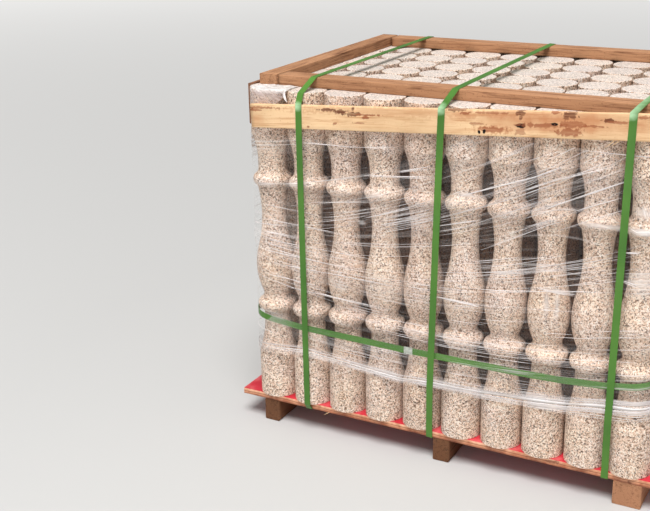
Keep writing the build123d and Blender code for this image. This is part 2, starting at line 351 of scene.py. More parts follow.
def wood(name, light, dark, along, marks=(), climb=0.0, rough_sawn=0.0012, streaky=0.3):
    """Sawn softwood whose grain runs along one axis: 0 for X and 1 for Y.

    Marks are ellipses as (x, z, half width, half height, strength, colour). The grain and the marks
    climb by a share of x.
    """
    s = Shader(name, roughness=0.75, specular=0.25)
    if climb:
        x, y, z = s.split(s.place)
        s.place = s.join(x, y, s.less(z, s.times(x, climb)))

    def drawn_out(across_grain, along_grain):
        """The place, scaled across the grain and along it."""
        scale = [across_grain] * 3
        scale[along] = along_grain
        return s.stretched(scale)

    figure = s.noise(3.4, detail=4.0, rough=0.6, vector=drawn_out(14.0, 1.1), distortion=1.2)
    fibres = s.noise(4.0, detail=3.0, rough=0.7, vector=drawn_out(90.0, 3.0))
    grain = s.plus(s.times(figure, 0.72), s.times(fibres, 0.42))
    body = s.ramp(grain, [(0.38, dark), (0.53, light), (0.64, light), (0.78, dark)])
    patches = s.ramp(s.noise(7.0, detail=3.0), [(0.35, (0.80, 0.76, 0.72, 1.0)), (0.6, (1.0, 1.0, 1.0, 1.0))])
    toned = s.mix(0.8, body, patches, blend="MULTIPLY")
    specks = s.ramp(s.noise(260.0, detail=1.0), [(0.66, 0.0), (0.74, 0.5)])
    streaks = s.noise(2.6, detail=5.0, rough=0.72, vector=drawn_out(70.0, 2.4), distortion=0.8)
    streaked = s.mix(s.times(s.ramp(streaks, [(0.53, 0.0), (0.66, 1.0)]), streaky), toned, dark)
    coat = s.mix(specks, streaked, dark)
    broken = s.ramp(fibres, [(0.36, 0.55), (0.56, 1.0)])
    for across, up, half_width, half_height, strength, tone in marks:
        ellipse = (across, up, half_width, half_height)
        if half_height > 0.012:
            # A broad stain, soft all over.
            mark = s.spot(*ellipse, soft=0.05, waver=0.5, grain=30.0)
        elif tone[0] < 0.02:
            # A knot hole, painted near black as painted shade, with a firm rim.
            mark = s.spot(*ellipse, soft=0.8, waver=0.5, grain=120.0)
        else:
            # A streak or knot, torn along the fibres.
            mark = s.times(s.spot(*ellipse, soft=0.7, waver=1.3, grain=120.0), broken)
        coat = s.mix(s.times(mark, strength), coat, tone)
    s.colour(coat)
    saw = s.noise(3.0, detail=1.0, vector=drawn_out(1.0, 160.0))
    s.bump(s.plus(fibres, s.times(saw, 0.5)), rough_sawn, strength=0.7)
    return s.material


def front_board_material():
    """Fresh pine, yellow on the left and browner on the right, with knots, streaks, and knot holes painted
    near black as painted shade.
    """
    origin, length, _, _ = board_frame("front_board")
    climb = length.z / length.x
    level = origin.z - origin.x * climb
    orange = srgb(200, 138, 96)
    red = srgb(156, 88, 56)
    brown = srgb(104, 54, 34)
    # The knot holes' near black is painted shade.
    hole = srgb(24, 13, 10)
    # X, height over the board's lower edge, half width, half height, strength and colour.
    places = (
        (-0.10, 0.0470, 0.300, 0.0120, 0.40, orange),
        (0.27, 0.0400, 0.280, 0.0260, 1.00, orange),
        (0.24, 0.0220, 0.170, 0.0130, 0.55, orange),
        (-0.462, 0.0209, 0.024, 0.0140, 0.60, orange),
        (0.330, 0.0250, 0.150, 0.0240, 0.50, orange),
        (0.129, 0.0140, 0.050, 0.0100, 0.75, orange),
        (-0.443, 0.0487, 0.050, 0.0034, 0.85, red),
        (-0.467, 0.0424, 0.022, 0.0034, 0.85, red),
        (-0.269, 0.0475, 0.026, 0.0036, 0.95, brown),
        (-0.237, 0.0450, 0.024, 0.0052, 0.95, brown),
        (-0.208, 0.0398, 0.030, 0.0052, 0.95, brown),
        (-0.169, 0.0387, 0.038, 0.0028, 0.90, red),
        (-0.172, 0.0321, 0.010, 0.0040, 0.90, red),
        (-0.202, 0.0515, 0.005, 0.0044, 0.90, brown),
        (-0.249, 0.0163, 0.006, 0.0036, 0.80, red),
        (-0.320, 0.0066, 0.004, 0.0030, 0.90, red),
        (-0.187, 0.0193, 0.016, 0.0026, 0.60, red),
        (0.044, 0.0561, 0.026, 0.0046, 0.95, brown),
        (0.067, 0.0483, 0.013, 0.0040, 0.90, red),
        (0.128, 0.0507, 0.044, 0.0026, 0.70, red),
        (0.092, 0.0265, 0.020, 0.0036, 0.60, red),
        (0.129, 0.0147, 0.034, 0.0070, 0.80, red),
        (0.100, 0.0089, 0.0036, 0.0044, 1.0, hole),
        (0.111, 0.0101, 0.0040, 0.0052, 1.0, hole),
        (0.192, 0.0530, 0.011, 0.0076, 0.95, brown),
        (0.190, 0.0430, 0.0040, 0.0070, 0.90, brown),
        (0.192, 0.0251, 0.0120, 0.0054, 1.0, hole),
        (0.191, 0.0125, 0.014, 0.0080, 0.60, red),
        (0.236, 0.0268, 0.056, 0.0056, 0.80, red),
        (0.265, 0.0305, 0.0090, 0.0034, 1.0, hole),
        (0.264, 0.0552, 0.012, 0.0044, 0.85, red),
        (0.294, 0.0499, 0.018, 0.0110, 0.90, brown),
        (0.301, 0.0302, 0.030, 0.0092, 0.80, red),
        (0.296, 0.0151, 0.030, 0.0100, 0.85, red),
        (0.314, 0.0478, 0.0036, 0.0030, 1.0, brown),
        (0.374, 0.0413, 0.014, 0.0044, 0.95, brown),
        (0.400, 0.0377, 0.026, 0.0034, 0.90, red),
        (0.345, 0.0287, 0.028, 0.0028, 0.75, red),
        (0.447, 0.0493, 0.018, 0.0040, 0.80, red),
    )
    marks = [(x, up + level, *rest) for x, up, *rest in places]
    light, dark = srgb(242, 206, 162), srgb(206, 150, 104)
    return wood("front_board", light, dark, 0, marks=marks, climb=climb, streaky=0.45)


def deck_material():
    """Film-faced plywood: red on its two faces, and pale and dark plies along its bare edges."""
    s = Shader("deck", roughness=0.45, specular=0.45)
    low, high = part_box("plywood_deck")
    normal = s.add("ShaderNodeNewGeometry").outputs["Normal"]
    up = s.math("ABSOLUTE", s.split(normal)[2])
    face = s.ramp(up, [(0.55, 0.0), (0.75, 1.0)])
    red = s.ramp(s.noise(9.0, detail=4.0), [(0.3, srgb(184, 32, 48)), (0.7, srgb(218, 56, 72))])
    dust = s.ramp(s.noise(30.0, detail=4.0), [(0.45, 0.0), (0.75, 0.5)])
    dusty = s.mix(dust, red, srgb(232, 150, 144))
    wander = s.times(s.less(s.noise(16.0, detail=3.0), 0.5), 0.006)
    share = s.times(s.less(s.plus(s.split(s.place)[2], wander), low.z), 1 / (high.z - low.z))
    plies = [
        (0.0, srgb(150, 92, 64)),
        (0.22, srgb(196, 132, 98)),
        (0.40, srgb(226, 164, 126)),
        (0.55, srgb(160, 100, 70)),
        (0.66, srgb(238, 180, 142)),
        (0.95, srgb(248, 200, 164)),
    ]
    rough = s.ramp(s.noise(60.0, detail=4.0), [(0.35, srgb(206, 166, 146)), (0.6, srgb(255, 255, 255))])
    edge = s.mix(0.8, s.ramp(share, plies), rough, blend="MULTIPLY")
    nicks = s.ramp(s.noise(34.0, detail=3.0), [(0.66, 0.0), (0.72, 0.8)])
    worn = s.mix(nicks, edge, srgb(120, 68, 44))
    s.colour(s.mix(face, worn, dusty))
    s.bump(s.noise(40.0, detail=4.0), 0.0006, strength=0.5)
    return s.material


def strap_material():
    """Green polyester strapping, finely embossed, and paler where it bends over the front board: a painted
    highlight, and the whitening of the bent strap.
    """
    s = Shader("strap", roughness=0.36, specular=0.5)
    over_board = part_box("front_board")[0].y + 0.002
    x, y, z = s.split(s.place)
    along = s.plus(z, y)
    first = s.math("SINE", s.times(s.plus(along, x), 2400.0))
    second = s.math("SINE", s.times(s.less(along, x), 2400.0))
    coat = s.ramp(s.noise(6.0, detail=3.0), [(0.35, srgb(62, 112, 30)), (0.65, srgb(80, 132, 42))])
    # Pale spots at each strap's bend over the board: painted highlights, and the bent strap's whitening.
    for name in ("left_strap", "centre_strap", "right_strap"):
        bend = max((p for p in corners(name) if p.y < over_board), key=lambda p: p.z)
        pale = s.spot(bend.x, bend.z - 0.004, 0.022, 0.014, soft=0.2, waver=0.3)
        coat = s.mix(s.times(pale, 0.75), coat, srgb(196, 236, 190))
    s.colour(coat)
    s.bump(s.times(first, second), 0.0002, strength=0.4)
    return s.material


def seal_material():
    """Zinc-plated steel, slightly cloudy."""
    s = Shader("seal", roughness=0.4, specular=0.5)
    s.surface.inputs["Metallic"].default_value = 0.7
    s.colour(s.ramp(s.noise(150.0, detail=3.0), [(0.3, srgb(176, 182, 172)), (0.7, srgb(222, 226, 216))]))
    return s.material


def crease_shape(level):
    """The climb and the bend of the crease that passes the middle of the front at a level over the deck."""
    climb = min(max((level - CLIMB_START) * CLIMB_GROWTH, 0.0), MOST_CLIMB)
    bend = min(BEND_START + level * BEND_GROWTH, MOST_BEND)
    return climb, bend


def crease_level(s):
    """The same curves in a material: the level of the crease that passes through each point."""
    x, y, z = s.split(s.place)
    over_deck = s.less(z, FOOT)
    half_square = s.times(s.times(x, x), 0.5)
    level = over_deck
    for _ in range(2):
        climb = s.math("MAXIMUM", s.times(s.less(level, CLIMB_START), CLIMB_GROWTH), 0.0)
        climb = s.math("MINIMUM", climb, MOST_CLIMB)
        bend = s.math("MINIMUM", s.plus(s.times(level, BEND_GROWTH), BEND_START), MOST_BEND)
        level = s.less(s.less(over_deck, s.times(climb, x)), s.times(bend, half_square))
    # Across the stones it changes so little that each crease runs on over several of them.
    return s.join(s.times(x, 0.012), s.times(y, 0.012), level)


def film_material():
    """Clear stretch film: nearly invisible where it lies flat, milky along its fine creases."""
    s = Shader("film", roughness=0.2, specular=0.5)
    s.colour((0.92, 0.86, 0.83, 1.0))
    along = crease_level(s)
    fine = s.noise(230.0, rough=0.6, vector=along)
    broad = s.noise(46.0, detail=3.0, vector=along)
    lines = s.ramp(fine, [(0.54, 0.0), (0.66, 1.0)])
    bands = s.ramp(broad, [(0.46, 0.0), (0.68, 1.0)])
    amount = s.plus(s.times(lines, s.plus(s.times(bands, 0.34), 0.07)), s.times(bands, 0.05))
    # Where several turns of film lie bunched, and painted sheen and glints where the film would catch the
    # light: X, Z, half width, half height, strength.
    patches = (
        (-0.440, 0.300, 0.070, 0.030, 0.45),
        (-0.502, 0.745, 0.014, 0.060, 0.80),
        (-0.131, 0.437, 0.060, 0.045, 0.22),
        (-0.248, 0.415, 0.040, 0.018, 0.40),
        (-0.188, 0.583, 0.016, 0.007, 0.95),
        (0.072, 0.683, 0.045, 0.008, 0.95),
        (0.262, 0.455, 0.010, 0.060, 0.80),
        (0.286, 0.455, 0.008, 0.050, 0.70),
        (0.290, 0.493, 0.040, 0.008, 0.90),
        (0.374, 0.652, 0.056, 0.009, 1.10),
        (0.460, 0.690, 0.036, 0.016, 0.90),
        (0.462, 0.650, 0.030, 0.010, 1.10),
        (0.465, 0.545, 0.036, 0.050, 0.55),
        (0.477, 0.234, 0.040, 0.012, 0.90),
        (0.300, 0.720, 0.210, 0.100, 0.04),
        (-0.400, 0.500, 0.110, 0.110, 0.08),
    )
    # The film lies tightest over the beads, and there it is painted whiter and more opaque: painted sheen.
    x, _, z = s.split(s.place)
    swing = s.math("COSINE", s.times(s.less(x, LEFT_AXIS), math.pi / PITCH))
    for bead in (UPPER_BEAD, LOWER_BEAD):
        rise = s.times(s.less(z, bead), 1 / BEAD_SHINE)
        ring = s.math("MAXIMUM", s.less(1.0, s.times(rise, rise)), 0.0)
        milky = s.plus(s.times(lines, 0.25), s.times(bands, 0.40))
        amount = s.plus(amount, s.times(s.times(ring, s.times(swing, swing)), milky))
    for across, up, half_width, half_height, strength in patches:
        bunched_film_and_sheen = s.spot(across, up, half_width, half_height, soft=0.1, waver=0.6, grain=26.0)
        amount = s.plus(amount, s.times(s.times(bunched_film_and_sheen, strength), s.plus(s.times(lines, 0.6), 0.5)))
    s.link(s.math("ADD", amount, 0.026, clamp=True), s.surface.inputs["Alpha"])
    s.bump(s.plus(fine, s.times(broad, 2.0)), 0.0016, strength=0.6)
    return s.material


def crease_material(name, thinnest, thickest):
    """Film gathered into a crease, fading in and out along its length."""
    s = Shader(name, roughness=0.3, specular=0.5)
    s.colour((0.93, 0.88, 0.87, 1.0))
    fade = s.ramp(s.noise(11.0), [(0.36, thinnest), (0.62, thickest)])
    s.link(fade, s.surface.inputs["Alpha"])
    return s.material


def use(material, *names):
    """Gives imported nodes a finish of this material."""
    for name in names:
        for slot in nodes[name].material_slots:
            slot.material = material


def placed(name, data):
    """A new object in the scene."""
    obj = bpy.data.objects.new(name, data)
    bpy.context.scene.collection.objects.link(obj)
    return obj


def tube_faces(rings, around, base=0):
    """The faces between rings of points, each ring closed on itself."""
    faces = []
    for ring in range(rings):
        for c in range(around):
            a = base + ring * around + c
            b = base + ring * around + (c + 1) % around
            faces.append((a, b, b + around, a + around))
    return faces


def strip_faces(rows, across):
    """The faces between rows of points, each row open at its ends."""
    faces = []
    for row in range(rows):
        for a in range(row * across, (row + 1) * across - 1):
            faces.append((a, a + across, a + across + 1, a + 1))
    return faces


def piece(name, points, faces, material, slot, *replaced, smooth=True):
    """A new mesh object that rides on the load."""
    mesh = bpy.data.meshes.new(name)
    mesh.from_pydata([tuple(p) for p in points], [], faces)
    mesh.validate()
    mesh.materials.append(material)
    mesh.polygons.foreach_set("use_smooth", [smooth] * len(mesh.polygons))
    obj = placed(name, mesh)
    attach(obj, "root")
    if replaced:
        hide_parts(*replaced)
    return obj


def board_frame(name):
    """A board's lower left front corner, and the vectors along its length, height and depth.

    The board may slope, as long as its length stays nearest to X.
    """
    points = corners(name)
    front = min(p.y for p in points)
    depth = max(p.y for p in points) - front
    face = [p for p in points if p.y < front + depth / 2]
    origin = min(face, key=lambda p: p.x + p.z)
    top = min(face, key=lambda p: p.x - p.z)
    end = max(face, key=lambda p: p.x - p.z)
    return origin, end - origin, top - origin, Vector((0, depth, 0))


def bar_frame(name, along):
    """The same four vectors for a straight bar whose length runs along X (0) or Y (1)."""
    low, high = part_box(name)
    size = high - low
    if along == 0:
        return low, Vector((size.x, 0, 0)), Vector((0, 0, size.z)), Vector((0, size.y, 0))
    return low, Vector((0, size.y, 0)), Vector((0, 0, size.z)), Vector((size.x, 0, 0))


def sawn_bar(node, frame_of_bar, material, slot, round_over=0.0022, waver=0.0009):
    """A bar with worn edges and slightly uneven sawn faces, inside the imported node's own faces."""
    origin, length, height, depth = frame_of_bar
    tall, deep = height.length, depth.length
    up, back = height.normalized(), depth.normalized()
    outline = []
    # The centre of each rounded edge, as depth and height, and the angle at which it starts.
    quarters = (
        (deep - round_over, round_over, -0.5 * math.pi),
        (deep - round_over, tall - round_over, 0.0),
        (round_over, tall - round_over, 0.5 * math.pi),
        (round_over, round_over, math.pi),
    )
    sides = max(2, round(tall / BAR_FACET))
    across = max(2, round(deep / BAR_FACET))
    for index, (b, u, start) in enumerate(quarters):
        for k in range(EDGE_TURNS + 1):
            angle = start + k * math.pi / 2 / EDGE_TURNS
            outline.append((b + round_over * math.cos(angle), u + round_over * math.sin(angle)))
        next_b, next_u, next_start = quarters[(index + 1) % 4]
        last_b, last_u = outline[-1]
        after_b = next_b + round_over * math.cos(next_start)
        after_u = next_u + round_over * math.sin(next_start)
        count = sides if index in (0, 2) else across
        for k in range(1, count):
            share = k / count
            outline.append((last_b + (after_b - last_b) * share, last_u + (after_u - last_u) * share))
    count = max(4, round(length.length / BAR_STEP))
    points = []
    around = len(outline)
    for k in range(count + 1):
        centre = origin + length * (k / count)
        for b, u in outline:
            spot = centre + back * b + up * u
            uneven = noise.noise(spot * 22.0) * 0.6 + noise.noise(spot * 90.0) * 0.4
            pull = waver * (0.5 + 0.5 * uneven)
            inward = back * (deep / 2 - b) / deep + up * (tall / 2 - u) / tall
            points.append(spot + inward.normalized() * pull if inward.length > 1e-6 else spot)
    faces = tube_faces(count, around)
    faces.append(tuple(reversed(range(around))))
    faces.append(tuple(range(count * around, (count + 1) * around)))
    bar = piece(node + "_sawn", points, faces, material, slot, node)
    for face in bar.data.polygons[-2:]:
        face.use_smooth = False


def round_the_load(reach):
    """Points and outward directions along a rounded rectangle round the stone, at even steps.

    It starts at the left front corner and runs along the front first.
    """
    corner = RADIUS + reach
    centres = (
        (LEFT_AXIS, FRONT_AXIS, math.pi),
        (RIGHT_AXIS, FRONT_AXIS, 1.5 * math.pi),
        (RIGHT_AXIS, BACK_AXIS, 0.0),
        (LEFT_AXIS, BACK_AXIS, 0.5 * math.pi),
    )
    trail = []
    for index, (x, y, start) in enumerate(centres):
        for k in range(TURN_STEPS + 1):
            angle = start + k * math.pi / 2 / TURN_STEPS
            out = Vector((math.cos(angle), math.sin(angle), 0))
            trail.append((Vector((x, y, 0)) + out * corner, out))
        next_x, next_y, _ = centres[(index + 1) % 4]
        begin = Vector((x, y, 0)) + out * corner
        end = Vector((next_x, next_y, 0)) + out * corner
        count = max(2, round((end - begin).length / TRAIL_STEP))
        trail += [(begin.lerp(end, k / count), out) for k in range(1, count)]
    return trail


def height_along(line, place):
    """The height that a line of (x, height) points gives at a place round the load."""
    x = min(max(place.x, line[0][0]), line[-1][0])
    for (x0, z0), (x1, z1) in zip(line, line[1:]):
        if x <= x1:
            return z0 + (z1 - z0) * (x - x0) / (x1 - x0)
    return line[-1][1]


def film_top(place):
    """The height of the film's upper edge, which climbs to the front board towards the right."""
    share = min(max((place.x - FILM_CLIMBS_FROM) / FILM_CLIMBS_OVER, 0.0), 1.0)
    # Round the corner it comes down again, to pass under the right board.
    on_front = min(max(1.4 * (FRONT_AXIS - place.y) / RADIUS - 0.4, 0.0), 1.0)
    return film_high.z - FILM_MARGIN + FILM_CLIMB * on_front * share * share * (3 - 2 * share)


def film_skin(material):
    """The wrapped film, one surface from the gathered edge up to the boards."""
    trail = round_the_load(FILM_REACH - FILM_THICKNESS)
    points = []
    for row in range(FILM_ROWS + 1):
        share = row / FILM_ROWS
        for place, out in trail:
            low = height_along(FILM_EDGE, place) - FILM_HEM
            ripple = noise.noise(Vector((place.x * 6, place.y * 6, share * 17))) * FILM_RIPPLE
            z = low + share * (film_top(place) - low)
            if row == FILM_ROWS:
                z += noise.noise(Vector((place.x * 9, place.y * 9, 3.0))) * FILM_SAG
            points.append(place + out * (ripple - FILM_INSET) + Vector((0, 0, z)))
    faces = tube_faces(FILM_ROWS, len(trail))
    skin = piece("film_skin", points, faces, material, "film", "stretch_film")


def crease(points, faces, trail, start, count, height, width, lift, wander, key):
    """Adds one flattened strand along the trail to points and faces.

    It tapers at both ends, and wanders and swells by the noise that its key picks.
    """
    around = len(trail)
    base = len(points)
    section = ((-0.5, 0.0), (0.0, 0.5), (0.5, 0.0), (0.0, -0.5))
    for k in range(count + 1):
        place, out = trail[(start + k) % around]
        share = k / count
        taper = max(0.1, min(1.0, 5 * share, 5 * (1 - share)))
        z = height(place, share) + wander * noise.noise(Vector((k * 0.09, key * 3.7, 0.5)))
        swell = taper * (1.0 + 0.4 * noise.noise(Vector((k * 0.21, key * 5.1, 2.5))))
        for up, away in section:
            aside = out * (lift + away * CREASE_DEPTH)
            points.append(place + aside + Vector((0, 0, z + up * width * swell)))
    faces += tube_faces(count, len(section), base)


def fine_creases(name, material, bundles, most, seed, widths):
    """Bundles of thin creases, level or falling on the left of the front and climbing on the right."""
    rng = random.Random(seed)
    trail = round_the_load(FILM_REACH - FILM_THICKNESS / 2)
    low = film_low.z + LOWEST_CREASE
    on_front = sum(1 for _, out in trail if out.y < -0.5)
    points, faces = [], []
    for bundle in range(bundles):
        level = rng.choice((rng.uniform(0.16, 0.4), rng.uniform(0.36, 0.62), rng.uniform(0.4, 0.6)))
        first = rng.randrange(on_front) if bundle % 3 else rng.randrange(len(trail))
        span = rng.randrange(12, 42)
        for strand in range(rng.randrange(3, most)):
            climb, bend = crease_shape(level + rng.gauss(0, 0.02))
            own = level + rng.gauss(0, 0.011)
            start = (first + rng.randrange(-8, 9)) % len(trail)
            count = max(6, int(span * rng.uniform(0.4, 1.0)))

            def height(place, share, own=own, climb=climb, bend=bend):
                z = FOOT + own + climb * place.x + bend * place.x * place.x / 2
                return min(max(z, low), film_top(place) - FILM_MARGIN)

            key = seed + bundle * most + strand
            crease(points, faces, trail, start, count, height, rng.choice(widths), 0.0, 0.0012, key)
    piece(name, points, faces, material, "film")


def long_folds(name, material, folds, seed):
    """Long straight folds over several stones, each a close pair or trio of strands."""
    rng = random.Random(seed)
    trail = round_the_load(FILM_REACH)
    front = [k for k, (_, out) in enumerate(trail) if out.y < -0.99]
    points, faces = [], []
    for number, (line, width) in enumerate(folds):
        inside = [k for k in front if line[0][0] <= trail[k][0].x <= line[-1][0]]
        for strand in range(rng.choice((2, 3))):
            shift = rng.uniform(-0.004, 0.004) if strand else 0.0

            def height(place, share, line=line, shift=shift):
                return min(height_along(line, place) + shift * (0.4 + share), film_top(place) - FILM_MARGIN)

            size = width * 0.5 if strand else width
            count = len(inside) - 1
            key = seed + number * 5 + strand
            crease(points, faces, trail, inside[0], count, height, size, 0.0003, 0.0008, key)
    piece(name, points, faces, material, "film")


def gathered_edge(name, material, strands, seed):
    """Strands of the rope that the film's lower edge is drawn into, as offsets in height and widths."""
    rng = random.Random(seed)
    trail = round_the_load(FILM_REACH)
    points, faces = [], []
    for key, (offset, width) in enumerate(strands):
        phase = rng.uniform(0, 6.3)

        def height(place, share, offset=offset, phase=phase):
            drift = 0.25 * math.sin(share * 22 + phase)
            spread = 1.0 + min(max(place.x, 0.0) * 2.0, 0.8)
            return height_along(FILM_EDGE, place) + offset * spread * (0.9 + drift)

        lift = rng.uniform(-0.0006, 0.0004)
        crease(points, faces, trail, 0, len(trail), height, width, lift, 0.0022, key + seed)
    piece(name, points, faces, material, "film")


def film_hood(material):
    """The loose end of the film, drawn up over the heads at the left front corner."""
    reach_right = LEFT_AXIS + HOOD_REACH * PITCH
    trail = [
        (place, out)
        for place, out in round_the_load(0.0002)
        if place.x < reach_right and out.y < -0.2 and place.y < FRONT_AXIS
    ]
    # From the lower edge in front up over the rim and inwards: outward reach and height over the heads.
    section = (
        (0.0, -0.040),
        (0.0, -0.032),
        (0.0, -0.024),
        (0.0, -0.016),
        (0.0, -0.008),
        (-0.0008, -0.001),
        (-0.004, 0.0012),
        (-0.011, 0.0018),
        (-0.020, 0.0018),
        (-0.032, 0.0018),
        (-0.046, 0.0018),
        (-0.062, 0.0014),
    )
    points = []
    last = len(trail) - 1
    for index, (place, out) in enumerate(trail):
        # Over the last 5 steps before its right-hand end, the lower edge is drawn up in a slanting fold.
        lost = max(0.0, (index - last + 5) / 5)
        lowest = -HOOD_HANGS + 0.034 * lost * lost
        for step, (reach, rise) in enumerate(section):
            pleat = abs(noise.noise(Vector((index * 0.55 + step * 0.9, step * 0.45, 4.0))))
            lift = pleat * HOOD_PLEAT
            if reach < -0.001:
                points.append(place + out * reach + Vector((0, 0, HEAD + rise + lift)))
                continue
            # Behind the front board it lies flat on the stone, and its pleats stand out above it.
            z = HEAD + max(rise, lowest)
            clear_of_board = min(max((z - HEAD + 0.030) / 0.008, 0.0), 1.0)
            points.append(place + out * (reach + lift * clear_of_board) + Vector((0, 0, z)))
    piece("film_hood", points, strip_faces(last, len(section)), material, "film")


def hood_fold(material):
    """The curled lip where the loose end of the film stops on the second head."""
    middle = Vector((LEFT_AXIS + LIP_REACH * PITCH, FRONT_AXIS - RADIUS - 0.0012, HEAD - 0.006))
    points = []
    for k in range(LIP_STEPS + 1):
        turn = math.pi * (0.90 + 0.34 * k / LIP_STEPS)
        outward = Vector((math.cos(turn), 0, math.sin(turn)))
        centre = middle + outward * LIP_RADIUS
        width = LIP_WIDTH * math.sin(math.pi * (k + 0.6) / (LIP_STEPS + 1.2))
        points += [centre - outward * width, centre - Vector((0, 0.002, 0)), centre + outward * width]
    piece("hood_fold", points, strip_faces(LIP_STEPS, 3), material, "film")


def hood_material():
    """Crumpled film: greyish with faint slanting folds on the upright faces, and white on top, both painted
    light for the light from above.
    """
    s = Shader("film_hood", roughness=0.3, specular=0.4)
    x, y, z = s.split(s.place)
    # Painted light: on top of the heads the film is painted white and more opaque, on the upright faces
    # greyish.
    top = s.ramp(s.times(s.less(z, HEAD - 0.014), 60.0), [(0.35, 0.0), (0.95, 1.0)])
    across = s.times(s.plus(x, s.times(z, 2.2)), 42.0)
    slanted = s.join(across, s.times(y, 42.0), s.times(s.less(z, x), 16.0))
    folds = s.noise(1.0, detail=4.0, rough=0.6, vector=slanted, distortion=1.6)
    s.colour(s.mix(top, srgb(220, 202, 198), srgb(238, 232, 228)))
    cover = s.ramp(folds, [(0.34, 0.16), (0.52, 0.40), (0.66, 0.72)])
    s.link(s.math("MULTIPLY_ADD", top, 0.45, cover, clamp=True), s.surface.inputs["Alpha"])
    s.bump(folds, 0.003, strength=0.8)
    return s.material


def girth_band(material):
    """The strap round the stone, which rides up where it turns the corners."""
    trail = round_the_load(STRAP_SEAT)
    half = (girth_high.z - girth_low.z) / 2
    section = ((0.0, -half), (STRAP_THICKNESS, -half), (STRAP_THICKNESS, half), (0.0, half))
    points, faces = [], []
    for place, out in trail:
        middle = height_along(GIRTH_LINE, place)
        points += [place + out * away + Vector((0, 0, middle + up)) for away, up in section]
    total = len(trail)
    for k in range(total):
        for c in range(4):
            a, b = k * 4 + c, k * 4 + (c + 1) % 4
            after_a, after_b = (a + 4) % (total * 4), (b + 4) % (total * 4)
            faces.append((a, after_a, after_b, b))
    piece("girth_band", points, faces, material, "strap", "girth_strap", smooth=False)


def splinters(material):
    """Slivers of wood torn from the lower edges of the front board and the deck."""
    origin, length, _, depth = board_frame("front_board")
    deck_low, deck_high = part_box("plywood_deck")
    # Where each one is rooted, and how far it reaches from there.
    slivers = (
        (origin + length * 0.905 + depth * 0.2, Vector((-0.020, -0.003, -0.019))),
        (origin + length * 0.915 + depth * 0.3, Vector((-0.016, -0.001, -0.014))),
        (origin + length * 0.790 + depth * 0.2, Vector((0.001, -0.002, -0.010))),
        (Vector((-0.288, deck_low.y + 0.001, deck_low.z + 0.003)), Vector((-0.020, -0.006, -0.012))),
        (Vector((-0.520, deck_low.y + 0.060, deck_high.z - 0.001)), Vector((-0.024, -0.004, -0.001))),
    )
    points, faces = [], []
    for root, reach in slivers:
        base = len(points)
        wide = reach.cross(Vector((0, 1, 0))).normalized() * 0.0011
        thick = Vector((0, 0.0014, 0))
        points += [root + wide, root - wide, root + thick, root + reach]
        for a, b, c in ((0, 1, 3), (1, 2, 3), (2, 0, 3), (0, 2, 1)):
            faces.append((base + a, base + b, base + c))
    piece("splinters", points, faces, material, "pale_board", smooth=False)


def floor():
    """A plain pale floor, which is its own backdrop."""
    half = FLOOR_HALF
    mesh = bpy.data.meshes.new("floor")
    square = [(-half, -half, 0), (half, -half, 0), (half, half, 0), (-half, half, 0)]
    mesh.from_pydata(square, [], [(0, 1, 2, 3)])
    obj = placed("floor", mesh)
    s = Shader("floor", roughness=0.9, specular=0.1)
    s.colour(FLOOR_TONE)
    # Far from the load, where the lamps fade, the floor keeps its pale tone as a backdrop.
    x, y, _ = s.split(s.place)
    away = s.math("SQRT", s.plus(s.times(x, x), s.times(y, y)))
    far = s.ramp(s.times(away, 1 / BACKDROP_FROM), [(FLOOR_KEEPS, 0.0), (1.0, BACKDROP_STRENGTH)])
    path = s.add("ShaderNodeLightPath")
    reflected = s.plus(path.outputs["Is Glossy Ray"], path.outputs["Is Transmission Ray"])
    seen = s.plus(path.outputs["Is Camera Ray"], reflected)
    s.surface.inputs["Emission Color"].default_value = BACKDROP_TONE
    s.link(s.times(far, seen), s.surface.inputs["Emission Strength"])
    mesh.materials.append(s.material)


def lamp(name, energy, size, place, target):
    """A round area lamp aimed at a point."""
    data = bpy.data.lights.new(name, "AREA")
    data.energy = energy
    data.shape = "DISK"
    data.size = size
    obj = placed(name, data)
    obj.location = place
    obj.rotation_mode = "QUATERNION"
    obj.rotation_quaternion = (Vector(target) - Vector(place)).to_track_quat("-Z", "Y")


def studio():
    """A soft sky, brightest overhead, with a large lamp high over the front and a weak low one."""
    world = bpy.data.worlds.new("studio")
    world.use_nodes = True
    tree = world.node_tree
    background = tree.nodes["Background"]
    direction = tree.nodes.new("ShaderNodeTexCoord").outputs["Generated"]
    parts = tree.nodes.new("ShaderNodeSeparateXYZ")
    tree.links.new(direction, parts.inputs[0])
    sky = tree.nodes.new("ShaderNodeValToRGB")
    sky.color_ramp.elements[0].position = 0.0
    sky.color_ramp.elements[0].color = SKY_LOW
    sky.color_ramp.elements[1].position = 0.85
    sky.color_ramp.elements[1].color = SKY_HIGH
    tree.links.new(parts.outputs[2], sky.inputs["Fac"])
    tree.links.new(sky.outputs["Color"], background.inputs["Color"])
    background.inputs["Strength"].default_value = SKY_STRENGTH
    bpy.context.scene.world = world
    lamp("sky", *SKY_LAMP)
    lamp("front", *FRONT_LAMP)


def camera():
    """The camera, from its place, its turn about Z, its tilt and its roll."""
    forward = Vector(
        (
            math.sin(CAMERA_YAW) * math.cos(CAMERA_PITCH),
            math.cos(CAMERA_YAW) * math.cos(CAMERA_PITCH),
            -math.sin(CAMERA_PITCH),
        )
    )
    level = Vector((math.cos(CAMERA_YAW), -math.sin(CAMERA_YAW), 0))
    down = forward.cross(level)
    right = level * math.cos(CAMERA_ROLL) + down * math.sin(CAMERA_ROLL)
    below = down * math.cos(CAMERA_ROLL) - level * math.sin(CAMERA_ROLL)
    data = bpy.data.cameras.new("camera")
    data.lens = CAMERA_LENS
    data.sensor_width = SENSOR_WIDTH
    data.clip_end = 50.0
    obj = placed("camera", data)
    turn = Matrix((right, -below, -forward)).transposed()
    obj.matrix_world = Matrix.Translation(CAMERA_PLACE) @ turn.to_4x4()
    bpy.context.scene.camera = obj


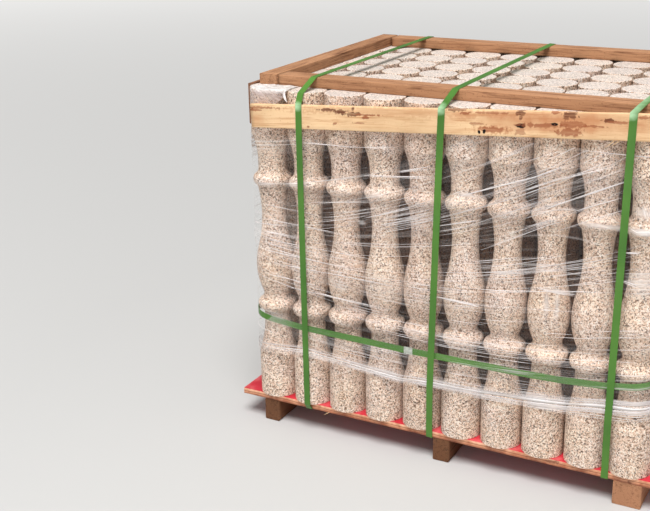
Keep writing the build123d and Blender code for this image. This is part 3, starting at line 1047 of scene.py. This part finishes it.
def timber():
    """The boards, battens and bearers, each sawn a little unevenly."""
    front = front_board_material()
    sawn_bar("front_board", board_frame("front_board"), front, "pale_board")
    pale = wood("pale_board", srgb(240, 206, 160), srgb(212, 160, 114), 0)
    sawn_bar("rear_board", board_frame("rear_board"), pale, "pale_board")
    dark = wood("dark_board", srgb(140, 98, 72), srgb(88, 56, 40), 1)
    for name in ("left_board", "right_board"):
        sawn_bar(name, bar_frame(name, 1), dark, "dark_board")
    light_batten, dark_batten = srgb(184, 136, 100), srgb(104, 62, 40)
    cross = wood("batten_x", light_batten, dark_batten, 0, streaky=0.8)
    for name in ("front_batten", "rear_batten"):
        sawn_bar(name, bar_frame(name, 0), cross, "batten_wood")
    deep = wood("batten_y", light_batten, dark_batten, 1, streaky=0.8)
    for name in ("left_runner", "right_runner"):
        sawn_bar(name, bar_frame(name, 1), deep, "batten_wood")
    brown = wood("bearer_wood", srgb(122, 82, 56), srgb(50, 32, 22), 1, rough_sawn=0.002)
    for name in ("left_bearer", "centre_bearer"):
        sawn_bar(name, bar_frame(name, 1), brown, "bearer_wood", round_over=0.004, waver=0.002)
    tan = wood("wide_bearer", srgb(186, 134, 100), srgb(126, 82, 58), 1, rough_sawn=0.002)
    sawn_bar("right_bearer", bar_frame("right_bearer", 1), tan, "bearer_wood", round_over=0.003, waver=0.0016)
    splinters(pale)


def wrapping():
    """The film, its creases, its gathered edge and its loose end."""
    film_skin(film_material())
    bright = crease_material("film_bright", 0.35, 0.9)
    folded = crease_material("film_folded", 0.30, 0.95)
    faint = crease_material("film_faint", 0.06, 0.55)
    milky = crease_material("film_milky", 0.10, 0.34)
    widths = (0.0007, 0.0010, 0.0014)
    fine_creases("film_creases", faint, bundles=46, most=12, seed=SEED, widths=widths)
    fine_creases("film_glints", bright, bundles=20, most=4, seed=SEED + 50, widths=widths[:2])
    # Each long fold as its points, in X and height, and its width.
    folds = (
        (((-0.37, 0.758), (-0.18, 0.768), (-0.09, 0.772)), 0.0016),
        (((-0.19, 0.697), (-0.10, 0.705), (0.00, 0.715)), 0.0020),
        (((-0.10, 0.715), (0.00, 0.742)), 0.0022),
        (((-0.19, 0.592), (-0.14, 0.608), (-0.06, 0.635)), 0.0026),
        (((-0.02, 0.595), (0.12, 0.635)), 0.0018),
        (((0.02, 0.665), (0.10, 0.695), (0.22, 0.740), (0.32, 0.788)), 0.0022),
        (((0.10, 0.555), (0.26, 0.640), (0.32, 0.665)), 0.0016),
        (((0.14, 0.590), (0.25, 0.645), (0.33, 0.690)), 0.0012),
        (((0.16, 0.690), (0.27, 0.740), (0.41, 0.790)), 0.0014),
        (((0.23, 0.664), (0.42, 0.757)), 0.0022),
        (((0.31, 0.675), (0.42, 0.723)), 0.0022),
        (((0.30, 0.700), (0.44, 0.765)), 0.0014),
        (((0.00, 0.431), (0.11, 0.425)), 0.0034),
        (((0.04, 0.463), (0.15, 0.471), (0.41, 0.511)), 0.0016),
        (((0.24, 0.493), (0.28, 0.490), (0.33, 0.492)), 0.0034),
        (((-0.50, 0.598), (-0.30, 0.585)), 0.0012),
        (((-0.48, 0.560), (-0.24, 0.548)), 0.0014),
        (((-0.50, 0.528), (-0.34, 0.520)), 0.0016),
        (((-0.46, 0.505), (-0.14, 0.497)), 0.0014),
        (((-0.50, 0.478), (-0.24, 0.466)), 0.0018),
        (((-0.44, 0.446), (-0.10, 0.440)), 0.0014),
        (((-0.50, 0.418), (-0.30, 0.404)), 0.0018),
        (((-0.40, 0.390), (-0.12, 0.378)), 0.0014),
        (((-0.34, 0.612), (-0.14, 0.640)), 0.0012),
        (((0.05, 0.600), (0.17, 0.655), (0.24, 0.690)), 0.0012),
        (((0.14, 0.640), (0.30, 0.718)), 0.0010),
        (((0.20, 0.615), (0.34, 0.690), (0.43, 0.745)), 0.0012),
        (((0.27, 0.625), (0.43, 0.700)), 0.0012),
        (((0.42, 0.600), (0.48, 0.606)), 0.0026),
        (((0.42, 0.540), (0.48, 0.530)), 0.0026),
    )
    long_folds("film_folds", folded, folds, SEED + 4)
    # Fainter ones climb beside them on the right.
    rng = random.Random(SEED + 9)
    slopes = []
    for _ in range(22):
        x = rng.uniform(0.02, 0.34)
        z = rng.uniform(0.60, 0.74) + 0.1 * x
        reach = rng.uniform(0.06, 0.15)
        line = ((x, z), (x + reach, z + rng.uniform(0.40, 0.52) * reach))
        slopes.append((line, rng.uniform(0.0007, 0.0013)))
    long_folds("film_slopes", faint, slopes, SEED + 40)
    rope = ((0.0005, 0.0070), (-0.0050, 0.0034), (0.0062, 0.0020), (-0.0115, 0.0012))
    gathered_edge("film_rope", folded, rope, SEED + 1)
    threads = [(-0.014 + 0.0026 * k, 0.0010 + 0.0006 * (k % 3)) for k in range(12)]
    gathered_edge("film_threads", faint, threads, SEED + 2)
    gathered_edge("film_haze", milky, ((0.007, 0.013), (-0.007, 0.009)), SEED + 3)
    film_hood(hood_material())
    hood_fold(crease_material("film_lip", 0.9, 0.98))


use(granite(), *[name for name in nodes if "baluster" in name])
use(deck_material(), "plywood_deck")
use(strap_material(), "left_strap", "centre_strap", "right_strap")
use(seal_material(), "strap_seal")
girth_band(strap_material())
timber()
wrapping()

floor()
studio()
camera()
bpy.context.scene.view_settings.view_transform = "Standard"
